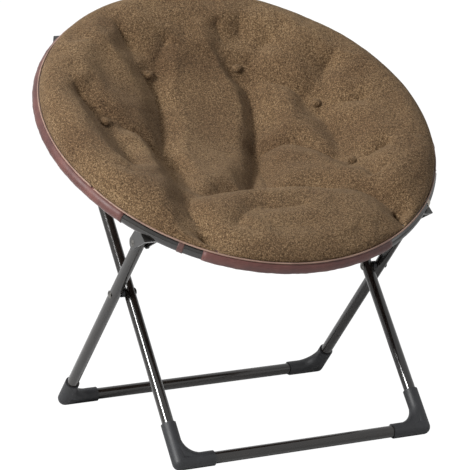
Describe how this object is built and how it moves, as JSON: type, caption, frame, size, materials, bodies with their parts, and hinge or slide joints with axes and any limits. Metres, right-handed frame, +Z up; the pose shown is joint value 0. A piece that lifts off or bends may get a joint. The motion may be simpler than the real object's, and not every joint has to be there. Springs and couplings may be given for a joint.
{
  "type": "folding saucer chair",
  "caption": "Round tufted saucer seat on a tube ring that folds in two over crossed tube legs with moulded corner feet.",
  "frame": {"origin": "on the floor, under the middle of the open chair's bounding box", "axes": "+X to the sitter's left, -Y to the front that the sitter faces, +Z up"},
  "size_m": [0.7806, 0.6637, 0.7851],
  "materials": {
    "frame_paint": "gloss black-brown enamel on round steel tube",
    "bracket_paint": "gloss black enamel on pressed steel",
    "rivet_steel": "dark zinc with worn crowns",
    "black_plastic": "matte moulded black",
    "plush": "heathered tan and brown short plush",
    "sling_cloth": "plain dark brown woven backing",
    "hem_vinyl": "dark red-brown leatherette with a low sheen"
  },
  "bodies": {
    "outer_frame": {"outer_floor_bar": "frame_paint", "outer_leg_left": "frame_paint", "outer_leg_right": "frame_paint", "outer_foot_left": "black_plastic", "outer_foot_right": "black_plastic", "outer_leg_plugs": "black_plastic", "scissor_rivets": "rivet_steel", "scissor_spacers": "black_plastic"},
    "front_ring": {"front_ring_tube": "frame_paint", "front_bracket_left": "bracket_paint", "front_bracket_right": "bracket_paint", "front_hinge_lug_left": "bracket_paint", "front_hinge_lug_right": "bracket_paint", "front_pivot_rivets": "rivet_steel", "seat_cushion": "plush", "front_sling": "sling_cloth", "front_hem": "hem_vinyl", "front_hem_left": "hem_vinyl"},
    "rear_ring": {"rear_ring_tube": "frame_paint", "rear_bracket_left": "bracket_paint", "rear_bracket_right": "bracket_paint", "rear_hinge_lug_left": "bracket_paint", "rear_hinge_lug_right": "bracket_paint", "rear_pivot_rivets": "rivet_steel", "hinge_rivets": "rivet_steel", "back_cushion": "plush", "tuft_buttons": "plush", "rear_sling": "sling_cloth", "rear_hem": "hem_vinyl"},
    "inner_frame": {"inner_floor_bar": "frame_paint", "inner_leg_left": "frame_paint", "inner_leg_right": "frame_paint", "inner_foot_left": "black_plastic", "inner_foot_right": "black_plastic", "inner_leg_plugs": "black_plastic", "scissor_rivet_tails": "rivet_steel"}
  },
  "joints": [
    {"name": "ring_fold", "type": "hinge", "parent": "front_ring", "child": "rear_ring", "pos_m": [0, -0.12803, 0.48315], "axis": [1, 0, 0], "range_deg": [0, 150]},
    {"name": "front_pivot", "type": "hinge", "parent": "outer_frame", "child": "front_ring", "pos_m": [0, -0.17396, 0.39632], "axis": [1, 0, 0], "range_deg": [-89.27, 0]},
    {"name": "rear_pivot", "type": "hinge", "parent": "rear_ring", "child": "inner_frame", "pos_m": [0, 0.26279, 0.66781], "axis": [1, 0, 0], "range_deg": [-21.86, 0]}
  ],
  "couplings": [
    {"joint": "front_pivot", "follows": "ring_fold", "ratio": -0.59316},
    {"joint": "rear_pivot", "follows": "ring_fold", "ratio": -0.14376}
  ]
}
